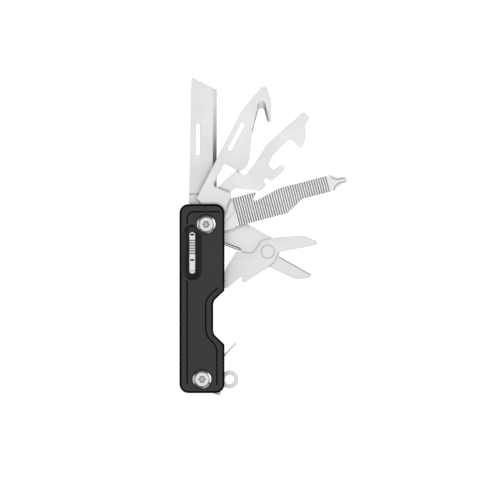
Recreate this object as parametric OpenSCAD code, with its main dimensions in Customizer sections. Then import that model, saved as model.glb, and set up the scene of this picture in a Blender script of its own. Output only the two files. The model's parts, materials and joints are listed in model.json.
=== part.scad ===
// Folding pocket multi tool: two scales on two pivots, with a fan of tools between them.
// Millimetres. The tool lies on its rear scale: +Y runs along the handle to the tools, +X is the
// side where the tools fold in, +Z points out of the front scale. The origin is the middle of the
// rear scale's outer face. Tool outlines are drawn about the pivot, with +X along the folded-out
// tool and +Y towards its spine. A corner is [x, y, radius].

/* [Handle] */
// Length of the two scales
handle_l = 91; // [89:0.5:96]
// Width of the two scales
handle_w = 21.7; // [21.3:0.1:23]
// Thickness of each scale
scale_t = 2.6; // [2.4:0.1:3.4]
// Corner radius of the scales
corner_r = 4.3; // [3:0.1:5]
// Rounding of the scales' outer edges
edge_r = 1; // [0.6:0.1:1.2]
// Depth of the finger notch in the right edge
notch_depth = 5.4; // [4:0.1:5.8]
// Length of the notch's straight floor
notch_floor_l = 15.6; // [12:0.1:17]
// Length of the notch at the edge
notch_mouth_l = 25.8; // [24:0.1:28]
// Height of the notch's middle above the handle's middle
notch_y = -9.1; // [-10:0.1:-8]

/* [Grooves] */
// Width of the decorative grooves
groove_w = 0.6; // [0.4:0.1:0.9]
// Depth of the decorative grooves
groove_depth = 0.3; // [0.2:0.05:0.4]
// Distance of the grooves from the scale's edge
groove_inset = 3.7; // [3.5:0.1:4]

/* [Pivots] */
// Distance of the tool pivot from the handle's middle line
pivot_x = 2; // [1.8:0.1:2.2]
// Distance of the tool pivot from the top edge
pivot_top = 9.8; // [9.6:0.1:10.2]
// Distance of the end pivot from the bottom edge
end_pivot_up = 6.6; // [6.4:0.1:7]
// Radius of the pivot barrels
barrel_r = 2.2; // [1.9:0.05:2.4]
// Radial running clearance on the barrels and pins
run_r = 0.05; // [0.02:0.01:0.08]
// Gap between faces that slide on each other
face_gap = 0.04; // [0.02:0.01:0.08]
// Thickness of the pivot washers
washer_t = 0.25; // [0.2:0.05:0.4]
// Radius of the pivot washers
washer_r = 4.6; // [4:0.1:5]

/* [Screws] */
// Radius of the polished cup washers
cup_r = 4.85; // [4.6:0.05:5]
// Depth of the cup washers' seats in the front scale
cup_depth = 1.3; // [1.1:0.1:1.5]
// Radius of the screw heads
screw_r = 3.55; // [3.2:0.05:3.8]
// Height of the screw heads above the cup washers' floor
screw_h = 1.3; // [1.1:0.1:1.5]
// Radius of the screw shanks
shank_r = 1.3; // [1.1:0.05:1.5]
// Radius of the barrel heads in the rear scale
barrel_head_r = 3.6; // [3.2:0.1:4]
// Thickness of the barrel heads
barrel_head_t = 1; // [0.8:0.1:1.2]
// Depth of the barrel heads below the rear scale's outer face
head_sink = 0.2; // [0.1:0.05:0.3]

/* [Tools] */
// Radius of the tool tangs round the pivot
tang_r = 5.5; // [5.3:0.1:5.6]
// Thickness of the main blade
blade_t = 1.8; // [1.5:0.1:2.4]
// Thickness of the strap-cutter hook
hook_t = 1.4; // [1.2:0.1:1.8]
// Thickness of the can and bottle opener
opener_t = 1.4; // [1.2:0.1:1.8]
// Thickness of the file
file_t = 1.6; // [1.4:0.1:2]
// Thickness of each scissors leaf
leaf_t = 1; // [0.9:0.1:1.3]
// Thickness left at a ground edge
edge_land = 0.12; // [0.05:0.01:0.2]

/* [Tool angles] */
// Direction of the main blade
blade_angle = 90; // [80:1:90]
// Direction of the strap-cutter hook
hook_angle = 62.1; // [60:0.1:65]
// Direction of the can and bottle opener
opener_angle = 41.6; // [39:0.1:44]
// Direction of the file
file_angle = 14.6; // [12:0.1:17]
// Direction of the scissors
scissors_angle = -23.8; // [-26:0.1:-21]
// Opening of the scissors' blades
scissors_open = 40.5; // [30:0.5:41]

/* [Main blade] */
// Radius of the main blade's tang across its corners
blade_tang_r = 6.4; // [6.3:0.05:6.6]
// Length of the main blade from its pivot
blade_l = 71; // [66:0.5:71]
// Depth of the ground bevel
blade_bevel_w = 1.85; // [1.4:0.05:2.4]
// Start of the bevel from the pivot
blade_bevel_x = 14.8; // [13:0.1:17]
// Length of the slot in the blade
blade_slot_l = 15.8; // [12:0.1:18]
// Width of the slot in the blade
blade_slot_w = 2.2; // [1.8:0.1:2.6]

/* [File] */
// Distance between the file's grooves
file_pitch = 1.17; // [1:0.01:1.5]
// Width of the file's grooves
file_groove_w = 0.56; // [0.4:0.02:0.7]
// Depth of the file's grooves
file_groove_depth = 0.16; // [0.1:0.01:0.22]
// Start of the file's grooves from the pivot
file_teeth_x = 15.4; // [15:0.1:17]
// Width of the driver's middle rib
driver_rib_w = 2.1; // [1.8:0.1:2.4]

/* [Scissors] */
// Distance of the scissors' rivet from the pivot
rivet_x = 32.4; // [32:0.1:32.8]
// Radius of the rivet's head
rivet_head_r = 3.15; // [2.8:0.05:3.3]
// Radius of the rivet's shank
rivet_r = 1.5; // [1.2:0.1:1.8]
// Depth of the rivet's heads in the leaves
rivet_head_t = 0.4; // [0.3:0.05:0.5]
// Width of the spring arm
spring_w = 1.2; // [1:0.1:1.3]
// Length of the spring arm from its pin
spring_l = 15; // [14:0.1:15.3]
// Radius of the spring arm's pin
spring_pin_r = 0.6; // [0.5:0.05:0.7]

/* [Lock] */
// Distance of the lock button from the handle's middle line
lock_x = -4.7; // [-4.8:0.1:-4.6]
// Distance of the lock recess's middle from the top edge
lock_top = 23.3; // [22.7:0.1:23.9]
// Width of the lock recess
scoop_w = 9.1; // [8.4:0.1:9.3]
// Length of the lock recess
scoop_l = 26.7; // [26.4:0.1:27.4]
// Depth of the lock recess
scoop_depth = 1.9; // [1.7:0.1:2]
// Width of the lock button
button_w = 3; // [2.6:0.1:3.2]
// Length of the lock button
button_l = 20.3; // [19:0.1:20.6]
// Travel of the lock button
lock_travel = 2; // [1.5:0.1:2]
// Number of grooves across the button
button_grooves = 6; // [3:1:8]
// Distance between those grooves
button_pitch = 1.25; // [1:0.01:1.4]

/* [Springs] */
// Width of the back springs' arms
spring_arm_w = 3.2; // [3:0.1:3.4]
// Inset of the back springs from the scales' left edge
spring_inset = 0.6; // [0.4:0.1:0.8]
// Radius of the two pins through the back springs
spine_pin_r = 1; // [0.8:0.05:1.1]

/* [End leaves] */
// Distance of the lanyard eye from the end pivot
eye_x = 13.3; // [13.3:0.1:13.8]
// Radius of the lanyard eye's hole
eye_r = 2.3; // [2.1:0.05:2.35]
// Outside radius of the lanyard eye
eye_rim_r = 4.3; // [3.9:0.1:4.5]
// Length of the SIM pin from the end pivot
sim_l = 24.2; // [23:0.1:24.6]
// Diameter of the SIM pin
sim_d = 1; // [0.8:0.05:1.1]
// Direction of the SIM pin
sim_angle = 47; // [45:1:49]
// Length of the SIM pin's heel from the end pivot
heel_l = 11.4; // [11:0.1:11.8]

/* [Hidden] */
$fn = 64;
eps = 0.01;
over = 1;
arc_step = 15;

// Places of the pivots and the half sizes of the handle
half_l = handle_l / 2;
half_w = handle_w / 2;
lock_y = half_l - lock_top;
main_pivot = [pivot_x, half_l - pivot_top];
end_pivot = [0, end_pivot_up - half_l];
barrel_bore_r = barrel_r + run_r;

// Layers from the rear scale to the front scale
layer_gap = washer_t + 2 * face_gap;
fixed_z = scale_t + layer_gap;
moving_z = fixed_z + leaf_t + face_gap;
blade_z = moving_z + leaf_t + layer_gap;
file_z = blade_z + blade_t + layer_gap;
opener_z = file_z + file_t + layer_gap;
hook_z = opener_z + opener_t + layer_gap;
inner_z = hook_z + hook_t + layer_gap;
body_t = inner_z + scale_t;

// Points of an arc that rounds the corner b between a and c to radius r
function unit(v) = v / norm(v);
function flat(v) = [v[0], v[1]];
function corner(a, b, c, r) =
    let (
        u = unit(flat(a) - flat(b)),
        v = unit(flat(c) - flat(b)),
        half = acos(max(-1, min(1, u * v))) / 2,
        centre = flat(b) + unit(u + v) * r / sin(half),
        from = atan2(-u[1], -u[0]),
        side = sign(u[0] * v[1] - u[1] * v[0]),
        start = from + 90 * side,
        turn = side * (180 - 2 * half),
        steps = max(1, ceil(abs(turn) / arc_step))
    )
    [for (k = [0 : steps]) centre - r * [cos(start + 180 - turn * k / steps),
        sin(start + 180 - turn * k / steps)]];
function rounded(p) = [
    for (i = [0 : len(p) - 1])
        let (a = p[(i + len(p) - 1) % len(p)], b = p[i], c = p[(i + 1) % len(p)])
        each (len(b) < 3 ? [b] : corner(a, b, c, b[2]))
];

// A flat plate with rounded corners
module plate(points, t) {
    linear_extrude(t) polygon(rounded(points));
}

// A slot with round ends, along X
module slot(length, width, t) {
    for (side = [-1, 1]) translate([side * (length - width) / 2, 0, 0]) cylinder(d = width, h = t);
    translate([-(length - width) / 2, -width / 2, 0]) cube([length - width, width, t]);
}

// Places a tool on a pivot
module at_pivot(pivot, angle, z) {
    translate([pivot[0], pivot[1], z]) rotate(angle) children();
}

// A hole through a plate of thickness t
module hole(r, t) {
    translate([0, 0, -over]) cylinder(r = r, h = t + 2 * over);
}

// What grinding takes off both faces of a plate along the edge from a to b, the plate at its left
module ground_edge(a, b, width, t, land = edge_land) {
    d = b - a;
    translate(a) rotate(atan2(d[1], d[0])) for (side = [-1, 1])
        translate([0, 0, t / 2]) scale([1, 1, side]) rotate([90, 0, 90]) linear_extrude(norm(d))
            polygon([[-over, land / 2], [0, land / 2], [width, t / 2], [width, t], [-over, t]]);
}

// --- Scales ---------------------------------------------------------------------------------

notch_slope = notch_depth / ((notch_mouth_l - notch_floor_l) / 2);
notch_top = notch_y + notch_mouth_l / 2;
notch_bottom = notch_y - notch_mouth_l / 2;
notch_left = half_w - notch_depth;
mouth_r = 1.2;
floor_r = 3.6;
groove_bend = 0.9;

// Moves each point of a closed counterclockwise outline inwards by d, with the edges kept parallel
function right_of(v) = [v[1], -v[0]];
function miter(a, b, c) =
    let (n = right_of(unit(b - a)), out = unit(n + right_of(unit(c - b))))
    out / (out * n);
function inset(p, d) =
    let (n = len(p)) [for (i = [0 : n - 1]) p[i] - d * miter(p[(i + n - 1) % n], p[i], p[(i + 1) % n])];

// A plate with its upper edge rounded to radius r, from an outline that runs counterclockwise round
// a hub from which all of it can be seen
module round_edged_plate(points, hub, t, r) {
    outline = rounded(points);
    n = len(outline);
    rings = concat([[0, 0]], [for (a = [0 : 22.5 : 90]) [r * (1 - cos(a)), t - r + r * sin(a)]]);
    top = len(rings) - 1;
    centre = len(rings) * n;
    polyhedron(
        concat(
            [for (ring = rings) each [for (p = inset(outline, ring[0])) [p[0], p[1], ring[1]]]],
            [[hub[0], hub[1], 0], [hub[0], hub[1], t]]
        ),
        [for (i = [0 : n - 1]) let (j = (i + 1) % n) each concat(
            [[centre, i, j], [centre + 1, top * n + j, top * n + i]],
            [for (k = [0 : top - 1]) [k * n + i, (k + 1) * n + i, (k + 1) * n + j, k * n + j]]
        )]
    );
}

// A scale before its holes are cut, with the outer face up
module scale_blank(t) {
    round_edged_plate([
        [-half_w, half_l, corner_r], [-half_w, -half_l, corner_r], [half_w, -half_l, corner_r],
        [half_w, notch_bottom, mouth_r], [notch_left, notch_y - notch_floor_l / 2, floor_r],
        [notch_left, notch_y + notch_floor_l / 2, floor_r], [half_w, notch_top, mouth_r],
        [half_w, half_l, corner_r]
    ], [-half_w / 2, notch_y], t, edge_r);
}

// The band of width w along an open line of corners, with round ends
module band(points, w) {
    n = len(points);
    line = [for (i = [0 : n - 1]) each (
        i == 0 || i == n - 1 ? [points[i]]
            : corner(points[i - 1], points[i], points[i + 1], points[i][2])
    )];
    last = len(line) - 1;
    before = 2 * line[0] - line[1];
    after = 2 * line[last] - line[last - 1];
    side = [for (i = [0 : last])
        miter(i == 0 ? before : line[i - 1], line[i], i == last ? after : line[i + 1])];
    polygon(concat(
        [for (i = [0 : last]) line[i] + side[i] * w / 2],
        [for (i = [last : -1 : 0]) line[i] - side[i] * w / 2]
    ));
    for (p = [line[0], line[last]]) translate(p) circle(d = w);
}

// Ends of the grooves: short of the right edge, under the pivot, above the scoop and at the bottom
groove_top_end = 2.6;
groove_side_end = 0.4;
groove_scoop_gap = 0.6;
groove_left_end = 1;
groove_right_end = 0.5;
groove_overrun = 0.3;
groove_corner_r = 3.4;
groove_floor_r = 8;
groove_mouth_r = 6;

// Grooves that follow the edge: round the top left corner, down the left side and round the notch
module decorative_grooves() {
    left = -half_w + groove_inset;
    right = half_w - groove_inset;
    inner = notch_left - groove_inset;
    shift = (right - inner) / notch_slope;
    floor_half = notch_floor_l / 2 + groove_bend;
    linear_extrude(groove_depth + over) {
        band([
            [half_w - groove_top_end, half_l - groove_inset],
            [left, half_l - groove_inset, groove_corner_r],
            [left, half_l - pivot_top + groove_side_end]
        ], groove_w);
        band([
            [left, lock_y - scoop_l / 2 - groove_scoop_gap],
            [left, groove_inset + groove_left_end - half_l]
        ], groove_w);
        band([
            [right + groove_overrun,
                notch_y + floor_half + shift + groove_overrun / notch_slope],
            [inner, notch_y + floor_half, groove_mouth_r],
            [inner, notch_y - floor_half, groove_floor_r],
            [right, notch_y - floor_half - shift, groove_mouth_r],
            [right, groove_inset + groove_right_end - half_l]
        ], groove_w);
    }
}

// Flat left round the top cup washer beside the scoop
scoop_rim = 0.75;

// The concave recess for the lock button, cut from above
module scoop() {
    half = scoop_w / 2;
    r = (half * half + scoop_depth * scoop_depth) / (2 * scoop_depth);
    reach = (scoop_l - scoop_w) / 2;
    difference() {
        translate([lock_x, lock_y, body_t - scoop_depth + r]) {
            for (side = [-1, 1]) translate([0, side * reach, 0]) sphere(r = r);
            rotate([90, 0, 0]) translate([0, 0, -reach]) cylinder(r = r, h = 2 * reach);
        }
        translate([main_pivot[0], main_pivot[1], body_t - scale_t])
            cylinder(r = cup_r + scoop_rim, h = scale_t + over);
    }
}

button_gap = 0.35;
button_drop = 0.2;
button_y = lock_y - button_drop;
button_floor = 0.6;
neck_w = 1.5;
neck_l = 14;
neck_gap = 0.1;

module front_scale() {
    color([0.13, 0.13, 0.135])
    difference() {
        translate([0, 0, inner_z]) scale_blank(scale_t);
        for (p = [main_pivot, end_pivot]) translate([p[0], p[1], 0]) {
            translate([0, 0, inner_z]) hole(barrel_bore_r, scale_t);
            translate([0, 0, body_t - cup_depth]) cylinder(r = cup_r + run_r, h = cup_depth + over);
        }
        scoop();
        translate([lock_x, button_y + lock_travel / 2, inner_z + button_floor]) rotate(90)
            slot(button_l + lock_travel + 2 * button_gap, button_w + 2 * button_gap, scale_t);
        translate([lock_x, button_y + lock_travel / 2, inner_z - over]) rotate(90)
            slot(neck_l + lock_travel + 2 * neck_gap, neck_w + 2 * neck_gap, scale_t);
        translate([0, 0, body_t - groove_depth]) decorative_grooves();
        for (y = spine_pin_y) translate([spine_x, y, inner_z - eps])
            cylinder(r = spine_pin_r + run_r, h = pin_seat + eps);
    }
}

module rear_scale() {
    color([0.13, 0.13, 0.135])
    difference() {
        translate([0, 0, scale_t]) mirror([0, 0, 1]) scale_blank(scale_t);
        for (p = [main_pivot, end_pivot]) translate([p[0], p[1], 0]) {
            hole(barrel_bore_r, scale_t);
            translate([0, 0, -over])
                cylinder(r = barrel_head_r + run_r, h = head_sink + barrel_head_t + over);
        }
        for (y = spine_pin_y) translate([spine_x, y, scale_t - pin_seat])
            cylinder(r = spine_pin_r + run_r, h = pin_seat + eps);
    }
}

// --- Pivots and screws ----------------------------------------------------------------------

seat_z = body_t - cup_depth;
shank_l = 7;

module barrel(p) {
    color([0.72, 0.73, 0.74])
    translate([p[0], p[1], head_sink]) difference() {
        union() {
            cylinder(r = barrel_head_r, h = barrel_head_t);
            cylinder(r = barrel_r, h = seat_z - head_sink);
        }
        translate([0, 0, seat_z - head_sink - shank_l - over])
            cylinder(r = shank_r + run_r, h = shank_l + 2 * over);
    }
}

module main_pivot_barrel() {
    barrel(main_pivot);
}

module end_pivot_barrel() {
    barrel(end_pivot);
}

cup_base = 0.35;
cup_proud = 0.3;
cup_sink = 0.45;
cup_gap = 0.1;

module cup_washers() {
    color([0.85, 0.86, 0.87])
    for (p = [main_pivot, end_pivot]) translate([p[0], p[1], seat_z]) rotate_extrude()
        polygon([
            [shank_r + run_r, 0], [cup_r, 0], [cup_r, cup_depth - cup_sink],
            [screw_r + cup_gap, cup_depth + cup_proud], [screw_r + cup_gap, cup_base],
            [shank_r + run_r, cup_base]
        ]);
}

lobe_r = 0.45;
lobe_at = 1.3;
socket_r = 1.2;
socket_depth = 1;

module screw(p) {
    color([0.82, 0.83, 0.84])
    translate([p[0], p[1], seat_z + cup_base]) difference() {
        union() {
            rotate_extrude() polygon([
                [0, 0], [screw_r, 0], [screw_r, screw_h - 0.35], [screw_r - 0.15, screw_h - 0.12],
                [screw_r - 0.5, screw_h], [0, screw_h]
            ]);
            translate([0, 0, -cup_base - shank_l]) cylinder(r = shank_r, h = shank_l + cup_base + eps);
        }
        translate([0, 0, screw_h - socket_depth]) {
            cylinder(r = socket_r, h = socket_depth + over);
            for (a = [0 : 60 : 300]) rotate(a) translate([lobe_at, 0, 0])
                cylinder(r = lobe_r, h = socket_depth + over);
        }
    }
}

module top_screw() {
    screw(main_pivot);
}

module bottom_screw() {
    screw(end_pivot);
}

module pivot_washers() {
    color([0.75, 0.62, 0.35])
    for (z = [scale_t, blade_z - layer_gap, file_z - layer_gap, opener_z - layer_gap,
            hook_z - layer_gap, inner_z - layer_gap])
        translate([main_pivot[0], main_pivot[1], z + face_gap]) difference() {
            cylinder(r = washer_r, h = washer_t);
            hole(barrel_bore_r, washer_t);
        }
}

// --- Back springs and spacer ----------------------------------------------------------------

pin_seat = 1;
spring_left = -half_w + spring_inset;
spine_x = spring_left + spring_arm_w / 2;
spine_pin_y = [-2, -26];
head_low = 0.8;
head_high = 2.8;
foot_r = 3.3;
spring_tip_gap = 0.3;
spring_waist = 0.75;
spring_taper_l = 9;

// One back spring: a foot on the end pivot, an arm up the back and a head that bears on a tang
module back_spring(z, t, r) {
    color([0.6, 0.61, 0.62])
    translate([0, 0, z - layer_gap / 2]) difference() {
        union() {
            plate([
                [spring_left, end_pivot[1] - foot_r, 1.5], [spring_left, main_pivot[1] + head_high, 1],
                [main_pivot[0] - r - spring_tip_gap, main_pivot[1] + head_high, 0.3],
                [main_pivot[0] - r - spring_tip_gap, main_pivot[1] - head_low, 0.3],
                [spring_left + spring_arm_w * spring_waist, main_pivot[1] - head_low, 0.3],
                [spring_left + spring_arm_w, main_pivot[1] - head_low - spring_taper_l, 2],
                [spring_left + spring_arm_w, end_pivot[1] + foot_r + 0.5, 1.5],
                [spring_left + spring_arm_w + 1, end_pivot[1] + foot_r, 0.3],
                [end_pivot[0], end_pivot[1] + foot_r], [end_pivot[0], end_pivot[1] - foot_r]
            ], t + layer_gap);
            translate([end_pivot[0], end_pivot[1], 0]) cylinder(r = foot_r, h = t + layer_gap);
        }
        translate([end_pivot[0], end_pivot[1], 0]) hole(barrel_bore_r, t + layer_gap);
        for (y = spine_pin_y) translate([spine_x, y, 0]) hole(spine_pin_r + run_r, t + layer_gap);
    }
}

module hook_back_spring() {
    back_spring(hook_z, hook_t + layer_gap / 2, tang_r);
}

module opener_back_spring() {
    back_spring(opener_z, opener_t, tang_r);
}

module file_back_spring() {
    back_spring(file_z, file_t, tang_r);
}

module blade_back_spring() {
    back_spring(blade_z, blade_t, blade_tang_r);
}

module spine_pins() {
    color([0.7, 0.7, 0.71])
    for (y = spine_pin_y) translate([spine_x, y, scale_t - pin_seat])
        cylinder(r = spine_pin_r, h = inner_z - scale_t + 2 * pin_seat);
}

// The spacer behind the scissors stops short of the circle that the scissors' lever sweeps
spacer_top = 0.8;
spacer_end = 41;
spacer_w = spring_arm_w + 0.6;

module rear_spacer() {
    color([0.25, 0.25, 0.26])
    difference() {
        translate([0, 0, scale_t]) plate([
            [spring_left, -spacer_end, 1], [spring_left, spacer_top, 1],
            [spring_left + spacer_w, spacer_top, 1], [spring_left + spacer_w, -spacer_end, 1]
        ], blade_z - layer_gap / 2 - scale_t);
        for (y = spine_pin_y) translate([spine_x, y, 0]) hole(spine_pin_r + run_r, blade_z);
    }
}

// --- Main blade -----------------------------------------------------------------------------

// Right side of the lock bar, which runs up beside the tangs
bar_gap = 0.28;
bar_right = pivot_x - tang_r - bar_gap;

blade_edge_y = -5.05;
blade_slot_at = [40.9, 4];
ricasso_w = 0.3;
ricasso_depth = 0.12;
nose_gap = 0.08;
tang_flat = pivot_x - bar_right - nose_gap;
tang_corner = sqrt(blade_tang_r * blade_tang_r - tang_flat * tang_flat);

module main_blade() {
    heel = [blade_bevel_x, blade_edge_y];
    point = [blade_l - 5.7, blade_edge_y];
    color([0.9, 0.9, 0.9])
    at_pivot(main_pivot, blade_angle, blade_z) difference() {
        union() {
            cylinder(r = blade_tang_r, h = blade_t);
            plate([
                [0, 5], [3, 5.9], [9.5, 8.2, 3], [blade_l, 7.2, 0.5], [blade_l - 5.6, -4, 0.5],
                [blade_l - 5.8, blade_edge_y, 0.2], [3, blade_edge_y], [0, -5]
            ], blade_t);
        }
        hole(barrel_bore_r, blade_t);
        translate([blade_slot_at[0], blade_slot_at[1], -over])
            slot(blade_slot_l, blade_slot_w, blade_t + 2 * over);
        ground_edge(heel, point + [over, 0], blade_bevel_w, blade_t);
        // The line across both faces where the grinding starts
        for (z = [-over, blade_t - ricasso_depth])
            translate([blade_bevel_x - ricasso_w, -2 * blade_tang_r, z])
                cube([ricasso_w, 4 * blade_tang_r, over + ricasso_depth]);
        // Flats beside which the lock bar's nose rises, with the blade open and folded
        for (cut = [[1, tang_corner + over], [-1, blade_tang_r]]) scale([1, cut[0], 1])
            translate([-blade_tang_r, tang_flat, -over])
                cube([blade_tang_r + cut[1], blade_tang_r, blade_t + 2 * over]);
    }
}

// --- Strap-cutter hook ----------------------------------------------------------------------

// Cutting edge inside the hook, from the belly round the throat to the point
hook_edge = [
    [50, 1.1], [55, 2.33], [59, 3.22], [60.2, 3.45], [61.1, 3.3], [61.7, 2.8], [61.85, 2.1],
    [61.4, 1.1], [59.6, -0.7], [57.1, -3]
];
// Upper line of the grinding along that edge
hook_bevel = [
    [50, 1.5], [55, 2.8], [59, 3.95], [62.3, 5.1], [63.8, 5.1], [65, 4.5], [65.6, 3.6],
    [65.2, 2.5], [62, -0.5], [58.3, -3.4]
];
hook_bevel_depth = 0.7;
hook_slot_at = [43.9, 6.9];
hook_slot_turn = 0.9;
hook_slot_l = 15.4;
hook_slot_w = 2.2;

// A closed ribbon between two lines of points, for the hollow grinding of the hook
module ground_ribbon(edge, line, depth, t) {
    n = len(edge);
    mid = [59, 1];
    inner = [for (p = edge) mid + (p - mid) * 0.8];
    points = concat(
        [for (p = line) [p[0], p[1], t + eps]], [for (p = edge) [p[0], p[1], t - depth]],
        [for (p = inner) [p[0], p[1], t - depth]], [for (p = inner) [p[0], p[1], t + eps]]
    );
    sides = [for (i = [0 : n - 2]) for (k = [0 : 3])
        let (a = k * n + i, b = ((k + 1) % 4) * n + i) each [[a, b, b + 1], [a, b + 1, a + 1]]];
    polyhedron(points, concat([[3 * n, 2 * n, n, 0], [n - 1, 2 * n - 1, 3 * n - 1, 4 * n - 1]], sides));
}

module hook_blade() {
    color([0.88, 0.88, 0.88])
    at_pivot(main_pivot, hook_angle, hook_z) difference() {
        union() {
            cylinder(r = tang_r, h = hook_t);
            plate([
                [0, 4.5], [2.5, 4.8], [7.9, 7, 0.4], [9.1, 10, 1], [56, 10.4, 20], [64, 9, 8],
                [70.9, 7.4, 1.7], [72, 5, 1.4], [66.9, -0.2, 6], [58.2, -4.7, 0.5],
                [57.1, -3.2, 0.4], [62.4, 1.75, 1.2], [61.2, 3.75, 1.3], [50, 1.3, 30], [37.5, -3.8, 3],
                [30.2, -3.8, 3], [30.1, 6.05, 1], [17.9, 6.05, 1.5], [18.9, -3.5, 0.4],
                [16.8, -4.5, 0.8], [12.6, -4.7, 1.5], [10.6, -5.4, 1], [0, -5.4]
            ], hook_t);
        }
        hole(barrel_bore_r, hook_t);
        translate([hook_slot_at[0], hook_slot_at[1], -over]) rotate(hook_slot_turn)
            slot(hook_slot_l, hook_slot_w, hook_t + 2 * over);
        ground_ribbon(hook_edge, hook_bevel, hook_bevel_depth, hook_t);
    }
}

// --- Can and bottle opener ------------------------------------------------------------------

opener_bevel_w = 1.4;

module can_opener() {
    color([0.88, 0.88, 0.88])
    at_pivot(main_pivot, opener_angle, opener_z) difference() {
        union() {
            cylinder(r = tang_r, h = opener_t);
            plate([
                [0, 4.5], [2.5, 4.8], [7.9, 7, 0.4], [9.3, 9.55, 1], [28.9, 9.6, 0.5],
                [28.8, 5, 1.2], [31, 5, 1.5], [38.2, 6.5, 20], [47.5, 9.35, 5], [71.5, 9.4, 1.4],
                [71.4, 5.1, 1.3], [67.2, 4.2, 1], [65.4, 1.3, 3], [62, -1.6, 3],
                [59, -3.4, 0.9], [58.2, -1.8], [57.8, 4.1, 1.6], [52, 3.95, 6], [46.5, 3.7, 3],
                [41.3, 1.5, 0.6],
                [41.5, -2.2, 1], [46.6, -2.3, 1.3], [46.4, -5.35, 1.3], [37.3, -5.2, 0.5],
                [36.7, -2.4, 0.9], [34.5, -2.4, 0.9], [34.1, -5.1, 0.5], [30.1, -5.1, 0.8],
                [22.3, 3.9, 1.5], [18.8, 4, 1.2], [16.6, 0, 2], [15.2, -4.3, 2.5], [8, -5.3, 4],
                [0, -5.4]
            ], opener_t);
        }
        hole(barrel_bore_r, opener_t);
        // The piercing edge is ground from the rear
        ground_edge([59, -3.4], [66.6, 3.4], opener_bevel_w, 2 * opener_t, opener_t);
    }
}

// --- File and Phillips driver ---------------------------------------------------------------

file_teeth_end = 63;
driver_y = 4.05;
driver_tip_x = 70.7;
flute_depth = 0.45;

// Side view of the file: a plate with V grooves across both faces
module file_section() {
    count = floor((file_teeth_end - file_teeth_x) / file_pitch);
    d = file_groove_depth;
    lower = [for (i = [0 : count - 1]) let (x = file_teeth_x + i * file_pitch)
        each [[x, 0], [x + file_groove_w / 2, d], [x + file_groove_w, 0]]];
    upper = [for (i = [0 : len(lower) - 1]) let (p = lower[len(lower) - 1 - i]) [p[0], file_t - p[1]]];
    polygon(concat([[-10, 0]], lower, [[80, 0], [80, file_t]], upper, [[-10, file_t]]));
}

module file_driver() {
    rib = driver_rib_w / 2;
    color([0.85, 0.85, 0.85])
    at_pivot(main_pivot, file_angle, file_z) difference() {
        intersection() {
            union() {
                cylinder(r = tang_r, h = file_t);
                plate([
                    [0, 4.5], [2.5, 4.8], [7.9, 6.8, 0.4], [9.4, 9, 1], [27, 9.05, 0.5], [27, 8, 0.4],
                    [24.9, 6.4, 0.4], [25, 5, 0.7], [28, 5.3], [38.3, 8, 4], [63.6, 8, 0.4],
                    [66.2, 6.6, 3], [driver_tip_x - 0.4, driver_y + 1.35, 0.8],
                    [driver_tip_x + 0.3, driver_y, 1], [driver_tip_x - 0.4, driver_y - 1.35, 0.8],
                    [66.2, 1.5, 3], [63.6, 0.2, 0.4], [48, 0.2, 3], [39.3, -4.6, 3],
                    [13.6, -4.65, 0.5], [12.8, -5.3, 0.5], [0, -5.3]
                ], file_t);
            }
            translate([0, 20, 0]) rotate([90, 0, 0]) linear_extrude(40) file_section();
        }
        hole(barrel_bore_r, file_t);
        // Flutes beside the driver's middle rib, on both faces
        for (side = [-1, 1]) for (z = [-over, file_t - flute_depth])
            translate([0, driver_y, z]) scale([1, side, 1]) plate([
                [63.7, 3.9], [64.6, 2.2, 2], [66.6, rib, 3], [driver_tip_x + 1, rib - 0.15],
                [driver_tip_x + 1, 3.9]
            ], flute_depth + over);
    }
}

// --- Scissors -------------------------------------------------------------------------------

rivet_gap = 0.05;
shear_bevel_w = 0.7;
shear_bevel_h = 0.3;
spring_pin = [5, -5.5];
spring_rest = 4.2;
rivet_span = 2 * leaf_t + face_gap;

module scissors_fixed_blade() {
    color([0.9, 0.9, 0.9])
    at_pivot(main_pivot, scissors_angle, fixed_z) difference() {
        union() {
            cylinder(r = tang_r, h = moving_z - fixed_z + leaf_t);
            plate([
                [0, 4.5], [2.5, 4.8], [8, 7, 0.4], [9.6, 8.9, 1.5], [18.3, 8.15],
                [rivet_x - 0.5, 6.8, 5], [37.4, 4, 3], [38.1, 0.2, 0.6], [56, -1.55, 0.3],
                [56, -3.5, 1], [50.2, -6.6, 3], [36.8, -6.4, 8], [28, -6.2, 8], [20.2, -4.9, 6],
                [8, -5.1, 2], [6.4, -7, 0.8], [3.4, -7, 0.8], [2, -5.2, 0.5], [0, -5.2]
            ], leaf_t);
        }
        hole(barrel_bore_r, 2 * leaf_t);
        translate([rivet_x, 0, 0]) {
            hole(rivet_r + rivet_gap, leaf_t);
            translate([0, 0, -over]) cylinder(r = rivet_head_r + rivet_gap, h = rivet_head_t + over);
        }
        translate([spring_pin[0], spring_pin[1], 0]) hole(spring_pin_r + rivet_gap, leaf_t);
        ground_edge([56.3, -1.58], [38.6, 0.16], shear_bevel_w, leaf_t, shear_bevel_h);
    }
}

module at_rivet(angle, z) {
    at_pivot(main_pivot, scissors_angle, z) translate([rivet_x, 0, 0]) rotate(angle) children();
}

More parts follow.
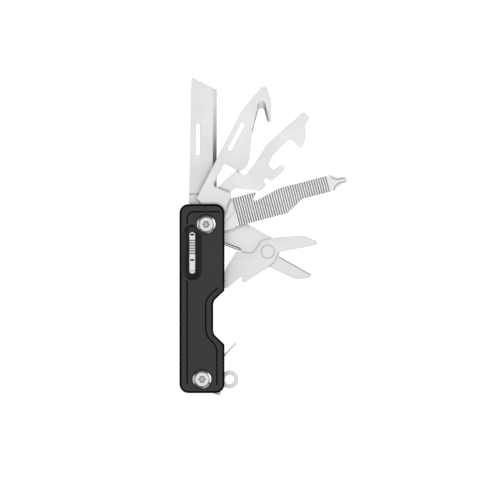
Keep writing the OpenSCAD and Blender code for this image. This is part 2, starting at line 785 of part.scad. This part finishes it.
module scissors_moving_blade() {
    color([0.9, 0.9, 0.9])
    at_rivet(scissors_open, moving_z) difference() {
        plate([
            [3.6, 5.7], [18.4, 2.6, 3], [24.2, -1.9, 1.2], [23.9, -3.65, 0.5], [6, -1.9, 1],
            [4.2, -2.6, 1.5], [2, -5.4, 4], [-2.3, -7.5, 3], [-14.9, -10.9, 0.6],
            [-16.1, -10.4, 0.5], [-15, -8.4, 0.5], [-15.3, -7.6, 0.3], [-20, -9.6, 8],
            [-28, -13, 2.4], [-25.5, -6.2, 3], [-19.5, -0.1, 8], [-14.3, 4.3, 1.2], [-7, 1.1, 2.5],
            [-1.6, 5.9, 3]
        ], leaf_t);
        hole(rivet_r + rivet_gap, leaf_t);
        translate([0, 0, leaf_t - rivet_head_t]) cylinder(r = rivet_head_r + rivet_gap, h = over);
    }
}

module scissors_rivet() {
    color([0.86, 0.86, 0.87])
    at_rivet(0, fixed_z) {
        cylinder(r = rivet_head_r, h = rivet_head_t - face_gap);
        cylinder(r = rivet_r, h = rivet_span);
        translate([0, 0, rivet_span - rivet_head_t + face_gap])
            cylinder(r = rivet_head_r, h = rivet_head_t - face_gap);
    }
}

module scissors_spring() {
    color([0.6, 0.61, 0.62])
    at_pivot(main_pivot, scissors_angle, 0) translate([spring_pin[0], spring_pin[1], 0]) {
        translate([0, 0, fixed_z]) cylinder(r = spring_pin_r, h = leaf_t + face_gap + eps);
        translate([0, 0, moving_z]) rotate(spring_rest) {
            cylinder(d = 2 * spring_w, h = leaf_t);
            translate([0, -spring_w / 2, 0]) cube([spring_l - spring_w / 2, spring_w, leaf_t]);
            translate([spring_l - spring_w / 2, 0, 0]) cylinder(d = spring_w, h = leaf_t);
        }
    }
}

// --- Lock -----------------------------------------------------------------------------------

arm_gap = 0.42;
button_proud = 0.1;
button_groove_top = 6;
button_groove_r = 0.3;
end_notch_r = 0.45;
end_notch_l = 1.8;
end_notch_y = [8.8, -3.4];
button_line_y = -8.7;
button_line_depth = 0.12;
button_line_w = 0.25;
nose_drop = 0.2;
bar_tail = 0.5;
bar_left = spring_left + spring_arm_w + arm_gap;
bar_top = main_pivot[1] - tang_corner - nose_drop;
bar_bottom = button_y - neck_l / 2 - bar_tail;
slide_gap = 0.05;

// The sliding button: a flat-topped bar with grooves across it and a short notch beyond each end
module lock_button() {
    top_z = body_t + button_proud;
    floor_z = inner_z + button_floor + slide_gap;
    color([0.8, 0.81, 0.82])
    translate([lock_x, button_y, 0]) difference() {
        translate([0, 0, floor_z]) rotate(90) slot(button_l, button_w, top_z - floor_z);
        for (i = [0 : button_grooves - 1])
            translate([-button_w, button_groove_top - i * button_pitch, top_z])
                rotate([0, 90, 0]) cylinder(r = button_groove_r, h = 2 * button_w);
        for (y = end_notch_y) translate([-end_notch_l / 2, y, top_z])
            rotate([0, 90, 0]) cylinder(r = end_notch_r, h = end_notch_l);
        translate([-button_w, button_line_y, top_z - button_line_depth])
            cube([2 * button_w, button_line_w, over]);
    }
}

module lock_bar() {
    color([0.55, 0.56, 0.57]) {
        translate([bar_left, bar_bottom, blade_z])
            cube([bar_right - bar_left, bar_top - bar_bottom, inner_z - slide_gap - blade_z]);
        translate([lock_x, button_y, inner_z - slide_gap - eps]) rotate(90)
            slot(neck_l, neck_w, button_floor + 2 * slide_gap + eps);
    }
}

// --- End leaves -----------------------------------------------------------------------------

end_gap = 0.08;
end_space = blade_z - layer_gap / 2 - scale_t;
end_leaf_t = (end_space - 3 * end_gap) / 2;
end_tang_r = 3.9;
ring_z = scale_t + end_gap;
sim_z = ring_z + end_leaf_t + end_gap;

module lanyard_ring() {
    color([0.85, 0.85, 0.86])
    at_pivot(end_pivot, 0, ring_z) difference() {
        union() {
            cylinder(r = end_tang_r, h = end_leaf_t);
            plate([[0, 2.4], [eye_x, 2.4], [eye_x, -2.4], [0, -2.4]], end_leaf_t);
            translate([eye_x, 0, 0]) cylinder(r = eye_rim_r, h = end_leaf_t);
        }
        hole(barrel_bore_r, end_leaf_t);
        translate([eye_x, 0, 0]) hole(eye_r, end_leaf_t);
    }
}

module sim_pin() {
    color([0.85, 0.85, 0.86])
    at_pivot(end_pivot, sim_angle, sim_z) difference() {
        union() {
            cylinder(r = end_tang_r, h = end_leaf_t);
            plate([
                [0, 3.4], [6.5, sim_d / 2, 2], [sim_l, sim_d / 2, 0.4], [sim_l, -sim_d / 2, 0.4],
                [5.5, -sim_d / 2, 2], [3, -heel_l + 3, 1.5], [1.2, -heel_l, 0.6],
                [-0.2, -heel_l, 0.4], [-3.4, -2, 2]
            ], end_leaf_t);
        }
        hole(barrel_bore_r, end_leaf_t);
    }
}

front_scale();
rear_scale();
main_pivot_barrel();
end_pivot_barrel();
top_screw();
bottom_screw();
cup_washers();
pivot_washers();
spine_pins();
hook_back_spring();
opener_back_spring();
file_back_spring();
blade_back_spring();
rear_spacer();
main_blade();
hook_blade();
can_opener();
file_driver();
scissors_fixed_blade();
scissors_moving_blade();
scissors_rivet();
scissors_spring();
lock_button();
lock_bar();
lanyard_ring();
sim_pin();
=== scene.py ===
"""The dressed folding multi tool: bevelled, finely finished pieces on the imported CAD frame."""

import json
import math

import bmesh
import bpy
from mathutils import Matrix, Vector


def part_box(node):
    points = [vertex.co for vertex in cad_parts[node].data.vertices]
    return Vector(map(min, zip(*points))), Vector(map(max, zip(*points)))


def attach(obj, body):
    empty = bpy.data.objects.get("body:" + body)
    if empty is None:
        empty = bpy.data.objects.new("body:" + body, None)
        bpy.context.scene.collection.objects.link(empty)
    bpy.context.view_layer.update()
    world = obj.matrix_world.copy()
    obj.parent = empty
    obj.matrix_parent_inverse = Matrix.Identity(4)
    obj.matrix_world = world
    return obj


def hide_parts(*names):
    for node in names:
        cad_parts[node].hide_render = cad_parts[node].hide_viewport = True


MM = 0.001

# What the camera sees, and how high it stands
VIEW_WIDTH = 231 * MM
VIEW_CENTRE = (18.3 * MM, 28.2 * MM)
CAMERA_HEIGHT = 1.5

# Brightness of the world from straight down (0) to straight up (1), leaned over by so many degrees
WORLD_LEVELS = ((0, 0.08), (0.4, 0.10), (0.62, 0.18), (0.82, 0.36), (0.94, 0.64), (1, 0.82))
WORLD_LEAN = -12

# Name, place, target, width and height in metres, and watts of each soft light
LIGHTS = (
    ("overhead", (0.02, 0.08, 1.0), (0.01, 0.03, 0), 0.8, 0.8, 1.28),
    ("strip_left", (-0.62, 0.02, 0.28), (0, 0, 0), 0.95, 0.12, 0.44),
    ("strip_right", (0.62, 0.10, 0.28), (0, 0, 0), 0.85, 0.16, 0.68),
    ("strip_front", (0.30, -0.55, 0.28), (0, 0, 0), 0.5, 0.14, 0.12),
    ("soft_right", (0.50, 0.25, 0.45), (0.01, 0.06, 0), 0.5, 0.5, 0.36),
)

FLOOR_HALF = 3
FLOOR_DROP = 0.02 * MM
BACKDROP_DROP = 0.5

# How each tool lies at rest, in degrees from +X: the way its grinding marks run
TURN = {
    "main_blade": 90, "hook_blade": 62.1, "can_opener": 41.6, "file_driver": 14.6,
    "scissors": -23.8}

# Cleaning of a copied mesh: metres for welding and for specks, degrees for flat neighbours
WELD = 2e-6
SPECK = 4e-6
FLAT_ANGLE = 0.6

# Upward parts of a face's normal: below the first a face is a wall, between the others a slope
WALL_UP = 0.05
SLOPE_UP = (0.12, 0.995)

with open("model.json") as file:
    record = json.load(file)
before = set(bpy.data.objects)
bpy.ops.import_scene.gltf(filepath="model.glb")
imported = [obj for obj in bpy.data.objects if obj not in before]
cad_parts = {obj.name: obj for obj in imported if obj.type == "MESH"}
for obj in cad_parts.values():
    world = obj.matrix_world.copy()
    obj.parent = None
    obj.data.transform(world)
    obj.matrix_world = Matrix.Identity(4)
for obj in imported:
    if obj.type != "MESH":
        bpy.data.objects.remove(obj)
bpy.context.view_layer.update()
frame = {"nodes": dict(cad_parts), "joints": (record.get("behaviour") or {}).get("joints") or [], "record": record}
body_of = {n: b for b, members in frame["record"]["behaviour"]["bodies"].items() for n in members}
scene = bpy.context.scene


# --- Camera, light and floor ----------------------------------------------------------------

def add_camera():
    data = bpy.data.cameras.new("camera")
    data.type = "ORTHO"
    data.ortho_scale = VIEW_WIDTH
    camera = bpy.data.objects.new("camera", data)
    camera.location = (*VIEW_CENTRE, CAMERA_HEIGHT)
    scene.collection.objects.link(camera)
    scene.camera = camera


def add_area(name, place, target, width, height, power):
    """A soft light at place, turned to target, that the camera doesn't see."""
    data = bpy.data.lights.new(name, "AREA")
    data.shape = "RECTANGLE"
    data.size, data.size_y = width, height
    data.energy = power
    light = bpy.data.objects.new(name, data)
    light.location = place
    light.rotation_mode = "QUATERNION"
    light.rotation_quaternion = (Vector(target) - Vector(place)).to_track_quat("-Z", "Y")
    light.visible_camera = False
    scene.collection.objects.link(light)


def fill_ramp(ramp, stops):
    """Sets a colour ramp's stops, each a position and a colour."""
    elements = ramp.color_ramp.elements
    elements[0].position, elements[0].color = stops[0][0], (*stops[0][1], 1)
    elements[1].position, elements[1].color = stops[-1][0], (*stops[-1][1], 1)
    for position, color in stops[1:-1]:
        elements.new(position).color = (*color, 1)


def grey(level, warm=0.0):
    return (level * (1 + warm), level, level * (1 - warm))


def add_world():
    """A room bright overhead, a little more so to the right, and dim towards the horizon."""
    world = bpy.data.worlds.new("studio")
    scene.world = world
    world.use_nodes = True
    tree = world.node_tree
    tree.nodes.clear()
    coords = tree.nodes.new("ShaderNodeTexCoord")
    lean = tree.nodes.new("ShaderNodeMapping")
    lean.inputs["Rotation"].default_value = (0, math.radians(WORLD_LEAN), 0)
    split = tree.nodes.new("ShaderNodeSeparateXYZ")
    ramp = tree.nodes.new("ShaderNodeValToRGB")
    back = tree.nodes.new("ShaderNodeBackground")
    out = tree.nodes.new("ShaderNodeOutputWorld")
    fill_ramp(ramp, [(position, grey(level)) for position, level in WORLD_LEVELS])
    tree.links.new(coords.outputs["Generated"], lean.inputs[0])
    tree.links.new(lean.outputs[0], split.inputs[0])
    tree.links.new(split.outputs["Z"], ramp.inputs["Fac"])
    tree.links.new(ramp.outputs["Color"], back.inputs["Color"])
    tree.links.new(back.outputs[0], out.inputs["Surface"])


def add_floor(name, depth, glow):
    """A backlit white plane, so far down: its own glow keeps the contact shadows faint."""
    bm = bmesh.new()
    bmesh.ops.create_grid(bm, x_segments=2, y_segments=2, size=FLOOR_HALF)
    mesh = bpy.data.meshes.new(name)
    bm.to_mesh(mesh)
    bm.free()
    floor = bpy.data.objects.new(name, mesh)
    floor.location = (0, 0, -depth)
    floor.visible_diffuse = floor.visible_glossy = False
    scene.collection.objects.link(floor)
    material = bpy.data.materials.new(name + "_white")
    material.use_nodes = True
    shader = material.node_tree.nodes["Principled BSDF"]
    shader.inputs["Base Color"].default_value = (0.9, 0.9, 0.9, 1)
    shader.inputs["Roughness"].default_value = 0.9
    shader.inputs["Specular IOR Level"].default_value = 0.1
    shader.inputs["Emission Color"].default_value = (1, 1, 1, 1)
    shader.inputs["Emission Strength"].default_value = glow
    mesh.materials.append(material)


add_camera()
add_world()
add_floor("floor", FLOOR_DROP, 0.85)
# The lower rays of a low view start under the floor, and meet this plane
add_floor("backdrop", BACKDROP_DROP, 1.0)
for light in LIGHTS:
    add_area(*light)
scene.view_settings.view_transform = "Standard"


# --- Materials ------------------------------------------------------------------------------

class Shade:
    """A material with short calls to add and link its nodes."""

    def __init__(self, name):
        self.material = bpy.data.materials.new(name)
        self.material.use_nodes = True
        self.tree = self.material.node_tree
        self.shader = self.tree.nodes["Principled BSDF"]

    def add(self, kind, **values):
        node = self.tree.nodes.new("ShaderNode" + kind)
        for key, value in values.items():
            if key in node.inputs:
                node.inputs[key].default_value = value
            else:
                setattr(node, key.lower(), value)
        return node

    def link(self, source, target):
        self.tree.links.new(source, target)

    def place(self, scale, turn=0):
        """Object coordinates turned about Z and stretched, in metres."""
        coords = self.add("TexCoord")
        turned = self.add("Mapping", Rotation=(0, 0, -math.radians(turn)))
        stretched = self.add("Mapping", Scale=scale)
        self.link(coords.outputs["Object"], turned.inputs["Vector"])
        self.link(turned.outputs[0], stretched.inputs["Vector"])
        return stretched.outputs[0]

    def noise(self, at, scale, detail=3.0, roughness=0.55):
        node = self.add("TexNoise", Scale=scale, Detail=detail, Roughness=roughness)
        self.link(at, node.inputs["Vector"])
        return node.outputs["Fac"]

    def tint(self, fac, *stops):
        """A colour ramp of (position, colour) stops, linked from fac."""
        ramp = self.add("ValToRGB")
        fill_ramp(ramp, stops)
        self.link(fac, ramp.inputs["Fac"])
        return ramp.outputs["Color"]

    def remap(self, value, *ends):
        """A linear map: where value starts and ends, and what it becomes there."""
        node = self.add("MapRange")
        for key, end in zip(("From Min", "From Max", "To Min", "To Max"), ends):
            node.inputs[key].default_value = end
        self.link(value, node.inputs["Value"])
        return node.outputs["Result"]

    def spread(self, fac, low, high):
        """The middle of a noise's values, spread from low to high."""
        return self.remap(fac, 0.3, 0.7, low, high)

    def painted_contact_shade(self, color, reach, lean, fade):
        """Painted contact shade: the colour darkened, from ambient occlusion, where another surface stands
        closer than reach on the side of lean. The reach falls to a tenth between the two places along X
        that fade gives."""
        near = self.add("AmbientOcclusion", samples=12)
        coords = self.add("TexCoord")
        split = self.add("SeparateXYZ")
        self.link(coords.outputs["Object"], split.inputs[0])
        fall = self.remap(split.outputs["X"], *fade, reach, reach / 10)
        self.link(fall, near.inputs["Distance"])
        face = self.add("NewGeometry")
        leaned = self.add("VectorMath", operation="ADD")
        leaned.inputs[1].default_value = lean
        unit = self.add("VectorMath", operation="NORMALIZE")
        self.link(face.outputs["Normal"], leaned.inputs[0])
        self.link(leaned.outputs[0], unit.inputs[0])
        self.link(unit.outputs[0], near.inputs["Normal"])
        mix = self.add("Mix", data_type="RGBA", blend_type="MULTIPLY")
        mix.inputs["Factor"].default_value = 1.0
        # Painted shade: occluded places darken to a fifth of the colour
        painted_shade = self.tint(near.outputs["AO"], (0.3, grey(0.2)), (0.9, grey(1.0)))
        self.link(color, mix.inputs["A"])
        self.link(painted_shade, mix.inputs["B"])
        return mix.outputs["Result"]

    def bump(self, height, distance, strength):
        node = self.add("Bump", Distance=distance, Strength=strength)
        self.link(height, node.inputs["Height"])
        return node.outputs["Normal"]

    def set(self, **values):
        for key, value in values.items():
            self.shader.inputs[key.replace("_", " ")].default_value = value

    def feed(self, key, output):
        self.link(output, self.shader.inputs[key])


def brushed(name, turn, level, rough, warm=0.004, grain=0.35, reach=None, lean=(0, 0, 0),
            fade=(0.2, 0.3), metal=1.0):
    """Ground steel: long fine scratches along turn and a faint cloudy sheen, with painted contact
    shade in the seams if reach, in mm, is given."""
    s = Shade(name)
    s.set(Metallic=metal)
    along = s.noise(s.place((60, 9000, 2500), turn), 1.0, 4.0, 0.7)
    cloud = s.noise(s.place((1, 1, 1), turn), 55.0, 3.0)
    color = s.tint(along, (0.25, grey(level * 0.95, warm)), (0.75, grey(level, warm)))
    s.feed("Base Color", s.painted_contact_shade(color, reach * MM, lean, fade) if reach else color)
    s.feed("Roughness", s.spread(cloud, rough - 0.03, rough + 0.04))
    s.feed("Normal", s.bump(along, 0.004 * MM, grain))
    return s.material


def polished(name, level, rough):
    """Bright steel with a trace of handling marks."""
    s = Shade(name)
    s.set(Metallic=1.0)
    marks = s.noise(s.place((1, 1, 1)), 900.0, 5.0, 0.65)
    s.feed("Base Color", s.tint(marks, (0.3, grey(level * 0.96)), (0.7, grey(level))))
    s.feed("Roughness", s.spread(marks, rough, rough + 0.06))
    s.feed("Normal", s.bump(marks, 0.003 * MM, 0.25))
    return s.material


def black_coat(name, level, gloss):
    """Matte black anodised aluminium: bead-blasted grain under an even dark coat."""
    s = Shade(name)
    s.set(Specular_IOR_Level=gloss)
    grain = s.noise(s.place((1, 1, 1)), 5200.0, 3.0, 0.6)
    cloud = s.noise(s.place((1, 1, 1)), 70.0, 4.0)
    s.feed("Base Color", s.tint(cloud, (0.3, grey(level * 0.85)), (0.7, grey(level * 1.15))))
    s.feed("Roughness", s.spread(grain, 0.36, 0.46))
    s.feed("Normal", s.bump(grain, 0.02 * MM, 0.35))
    return s.material


def bronze(name):
    """Plain bronze, a little darker in patches."""
    s = Shade(name)
    s.set(Metallic=1.0)
    cloud = s.noise(s.place((1, 1, 1)), 700.0, 4.0)
    s.feed("Base Color", s.tint(cloud, (0.3, (0.50, 0.33, 0.16)), (0.7, (0.66, 0.46, 0.24))))
    s.feed("Roughness", s.spread(cloud, 0.3, 0.42))
    return s.material


coat = black_coat("anodised_black", 0.016, 0.5)
# Painted shade: a near-black coat for the scales' rounded rims and grooves, which stand in shade
painted_shade_coat = black_coat("anodised_painted_shade", 0.002, 0.05)
# Painted shadow: dark steel for the screw sockets' walls; their floor is a little darker than the head, with
# painted contact shade in its lobes
shadow = brushed("socket_painted_shadow_steel", 0, 0.16, 0.5)
socket_floor = brushed("socket_floor_steel", 0, 0.5, 0.4, reach=0.9)
# Painted shade: dark steel for the valleys of the file's grooves and of the button's grooves
cut = brushed("valley_painted_shade_steel", TURN["file_driver"], 0.40, 0.5)
# Painted shade: dark steel on the plates' side walls, so their reflections darken the seams between tools
wall_shade = brushed("wall_painted_shade_steel", 0, 0.22, 0.5)
# Painted shade: near-black steel for the scissors spring's walls and rounded edges, in place of the shadow gaps
# beside it
spring_edge_shade = brushed("spring_edge_painted_shade_steel", 0, 0.05, 0.5)
# Painted shade: near-black in the lock button's end notches
notch_shade = black_coat("button_notch_painted_shade", 0.01, 0.2)
bright = polished("polished_steel", 0.55, 0.12)
spring = brushed("spring_steel", 90, 0.55, 0.34)
sleeve = bronze("plain_bronze")
# The satin tools get painted contact shade within reach of a neighbour
satin = {
    name: brushed("satin_" + name, TURN[name], 0.94, 0.46, reach=2, metal=0.85)
    for name in ("main_blade", "hook_blade", "can_opener")}
# On the scissors the painted contact shade leans toward -X, +Y, a painted shadow from that side, and fades out
# along X between 24 and 31 mm
satin["scissors"] = brushed(
    "satin_scissors", TURN["scissors"], 0.95, 0.46, reach=4, lean=(-0.5, 0.7, 0),
    fade=(24 * MM, 31 * MM), metal=0.85)
ground = brushed("ground_edge_steel", 0, 0.88, 0.42)
cut_steel = brushed("cut_file_steel", TURN["file_driver"], 0.96, 0.44, metal=0.85)
leaf = brushed("satin_leaf", 0, 0.9, 0.46, metal=0.85)


# --- Pieces from the solids -----------------------------------------------------------------

def mark_plate(bm, limit):
    """Ground flats meet their neighbours in crisp lines; walls cut round a curve stay smooth."""
    big = 1.2 * MM * MM
    crisp = math.radians(1.5)
    leaning = 0.02
    for edge in bm.edges:
        faces = edge.link_faces
        angle = edge.calc_face_angle(0) if len(faces) == 2 else math.pi
        flat = any(abs(f.normal.z) > leaning and f.calc_area() > big for f in faces)
        edge.smooth = angle < (crisp if flat else limit)


def mark_round(bm, limit):
    """Every edge under the limit is smooth."""
    for edge in bm.edges:
        edge.smooth = len(edge.link_faces) == 2 and edge.calc_face_angle(0) < limit


def finish(obj, bevel, segments, angle, edge_slot):
    """Rounds the edges of obj by bevel, in mm, and keeps its broad faces flat in the shading."""
    if bevel:
        edge = obj.modifiers.new("edge", "BEVEL")
        edge.width = bevel * MM
        edge.segments = segments
        edge.limit_method = "ANGLE"
        edge.angle_limit = math.radians(angle)
        edge.use_clamp_overlap = False
        edge.miter_outer = "MITER_ARC"
        edge.material = edge_slot
    weight = obj.modifiers.new("weight", "WEIGHTED_NORMAL")
    weight.mode = "FACE_AREA"
    weight.weight = 80
    weight.keep_sharp = True
    graph = bpy.context.evaluated_depsgraph_get()
    mesh = bpy.data.meshes.new_from_object(obj.evaluated_get(graph))
    mesh.name = obj.name
    obj.modifiers.clear()
    obj.data = mesh


def dress(node, material, *others, bevel=0.08, segments=2, angle=28, mark=mark_plate, shape=None,
          edge_slot=-1):
    """A copy of a node's solid with clean faces, rounded edges and a finish; it replaces the node.
    others are further materials, each with a test for its faces; shape works on the mesh first.
    edge_slot is the material of the rounded edges, by its number, or -1 for their faces' own."""
    bm = bmesh.new()
    bm.from_mesh(frame["nodes"][node].data)
    bmesh.ops.remove_doubles(bm, verts=bm.verts, dist=WELD)
    bmesh.ops.dissolve_degenerate(bm, dist=SPECK, edges=bm.edges)
    bmesh.ops.dissolve_limit(
        bm, angle_limit=math.radians(FLAT_ANGLE), use_dissolve_boundaries=False,
        verts=bm.verts, edges=bm.edges)
    if shape:
        shape(bm)
    for face in bm.faces:
        face.smooth = True
        face.material_index = next((i + 1 for i, other in enumerate(others) if other[1](face)), 0)
    bm.normal_update()
    mark(bm, math.radians(angle))
    mesh = bpy.data.meshes.new(node + "_dressed")
    bm.to_mesh(mesh)
    bm.free()
    mesh.materials.append(material)
    for other in others:
        mesh.materials.append(other[0])
    piece = bpy.data.objects.new(node + "_dressed", mesh)
    scene.collection.objects.link(piece)
    finish(piece, bevel, segments, angle, edge_slot)
    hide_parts(node)
    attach(piece, body_of[node])


def off_flat(node):
    """The faces of a scale that get painted shade: its rounded rim and its decorative grooves, but not its scoop.
    """
    low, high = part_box(node)
    button_low, button_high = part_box("lock_button")
    outer = high.z if node == "front_scale" else low.z
    scoop = 3.2 * MM
    rim = 1.05 * MM
    groove = 0.31 * MM
    skin = 0.02 * MM
    upright, level = 0.03, 0.999

    def test(face):
        at = face.calc_center_median()
        up = abs(face.normal.z)
        depth = abs(outer - at.z)
        in_scoop = (
            button_low.x - scoop < at.x < button_high.x + scoop
            and button_low.y - scoop < at.y < button_high.y + scoop)
        in_groove = skin < depth < groove and (up < upright or up > level)
        return in_groove or (not in_scoop and upright < up < SLOPE_UP[1] and depth < rim)

    return test


def is_wall(face):
    """The side wall of a plate, which gets a dark painted shade material."""
    return abs(face.normal.z) < WALL_UP


def is_slope(face):
    """A face cut into the flats of a plate, which is neither flat nor a wall."""
    return SLOPE_UP[0] < abs(face.normal.z) < SLOPE_UP[1]


def button_cuts():
    """Tests for the short end notches of the lock button and for the grooves across it."""
    low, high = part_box("lock_button")
    middle = (low.x + high.x) / 2
    notch_l = 1.9 * MM
    notch_depth = 0.5 * MM
    top = high.z - 0.005 * MM

    def in_notch(face):
        at = face.calc_center_median()
        across = [v.co.x for v in face.verts]
        return (
            high.z - notch_depth < at.z < top and abs(at.x - middle) < notch_l / 2
            and max(across) - min(across) < notch_l)

    def in_groove(face):
        return face.normal.z > WALL_UP and face.calc_center_median().z < top

    return in_notch, in_groove


def round_button(bm):
    """The button's top edges rolled over along its whole outline."""
    low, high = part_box("lock_button")
    inner = 0.9 * MM
    band = 0.35 * MM
    roll = 0.22 * MM
    middle = (low.x + high.x) / 2
    rim = []
    for edge in bm.edges:
        slopes = sorted(abs(f.normal.z) for f in edge.link_faces)
        at = (edge.verts[0].co + edge.verts[1].co) / 2
        outside = abs(at.x - middle) > inner or not low.y + inner < at.y < high.y - inner
        wall_meets_top = len(slopes) == 2 and slopes[0] < WALL_UP < slopes[1]
        if wall_meets_top and outside and at.z > high.z - band:
            rim.append(edge)
    bmesh.ops.bevel(bm, geom=rim, offset=roll, segments=3, profile=0.5, affect="EDGES")


def socket_faces(node):
    """Tests for the floor and for the walls of a screw's six-lobe socket."""
    low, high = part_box(node)
    middle = (low + high) / 2
    top = high.z - 0.02 * MM
    bottom = high.z - 1.1 * MM
    socket_r = 1.75 * MM

    def inside(face):
        at = face.calc_center_median()
        out = math.hypot(at.x - middle.x, at.y - middle.y)
        return out < socket_r and bottom < at.z < top

    return (lambda face: inside(face) and face.normal.z > 0.9), inside


def driver_rib(bm):
    """Sloping flanks beside the driver's middle rib, in place of its square steps."""
    low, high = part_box("file_driver")
    pivot = Vector(frame_point("file_fold"))
    turn = math.radians(TURN["file_driver"])
    along = Vector((math.cos(turn), math.sin(turn), 0))
    skin = 0.01 * MM
    tip_start = 63.6 * MM
    flank = 0.3 * MM
    picked = []
    for edge in bm.edges:
        a, b = (v.co for v in edge.verts)
        if min(a.z, b.z) < high.z - skin and max(a.z, b.z) > low.z + skin:
            continue
        if min((a - pivot).dot(along), (b - pivot).dot(along)) < tip_start:
            continue
        if len(edge.link_faces) == 2 and edge.calc_face_angle(0) > 1:
            picked.append(edge)
    bmesh.ops.bevel(bm, geom=picked, offset=flank, segments=3, profile=0.35, affect="EDGES")


def frame_point(joint):
    """A point on a joint's axis."""
    return next(j["pos_m"] for j in frame["joints"] if j["name"] == joint)


def keep(node, material):
    """A carried-over solid with a finer material."""
    data = frame["nodes"][node].data
    data.materials.clear()
    data.materials.append(material)


# --- The dressed pieces ---------------------------------------------------------------------

# The scales' rounded rims and grooves are painted near-black as shade
for name in ("front_scale", "rear_scale"):
    dress(name, coat, (painted_shade_coat, off_flat(name)), bevel=0.06, mark=mark_round)
dress("rear_spacer", coat, bevel=0.15)
for name in ("hook_back_spring", "opener_back_spring", "file_back_spring", "blade_back_spring"):
    dress(name, spring)
for name in ("main_pivot_barrel", "end_pivot_barrel", "cup_washers"):
    dress(name, bright, bevel=0.07, mark=mark_round)
for name in ("top_screw", "bottom_screw"):
    # Each screw's socket floor and walls get painted shade
    floor, walls = socket_faces(name)
    dress(name, bright, (socket_floor, floor), (shadow, walls), bevel=0.05, mark=mark_round)
keep("pivot_washers", sleeve)
keep("spine_pins", spring)
# The plates' side walls get painted shade
for name in ("main_blade", "hook_blade", "can_opener"):
    dress(name, satin[name], (ground, is_slope), (wall_shade, is_wall), bevel=0.1)
# The flanks of the file's grooves are painted dark as shade
dress("file_driver", cut_steel, (cut, is_slope), (wall_shade, is_wall), bevel=0.05, shape=driver_rib)
for name in ("scissors_fixed_blade", "scissors_moving_blade"):
    dress(name, satin["scissors"], (wall_shade, is_wall), bevel=0.1)
dress("scissors_rivet", satin["scissors"], bevel=0.12, segments=3)
# The spring's walls and rounded edges are painted near-black as shade
dress("scissors_spring", bright, (spring_edge_shade, is_wall), bevel=0.36, edge_slot=1)
# The button's end notches and grooves are painted dark as shade
in_notch, in_groove = button_cuts()
dress("lock_button", bright, (notch_shade, in_notch), (cut, in_groove), bevel=0, mark=mark_round,
      shape=round_button)
dress("lock_bar", spring)
dress("lanyard_ring", leaf)
dress("sim_pin", leaf)
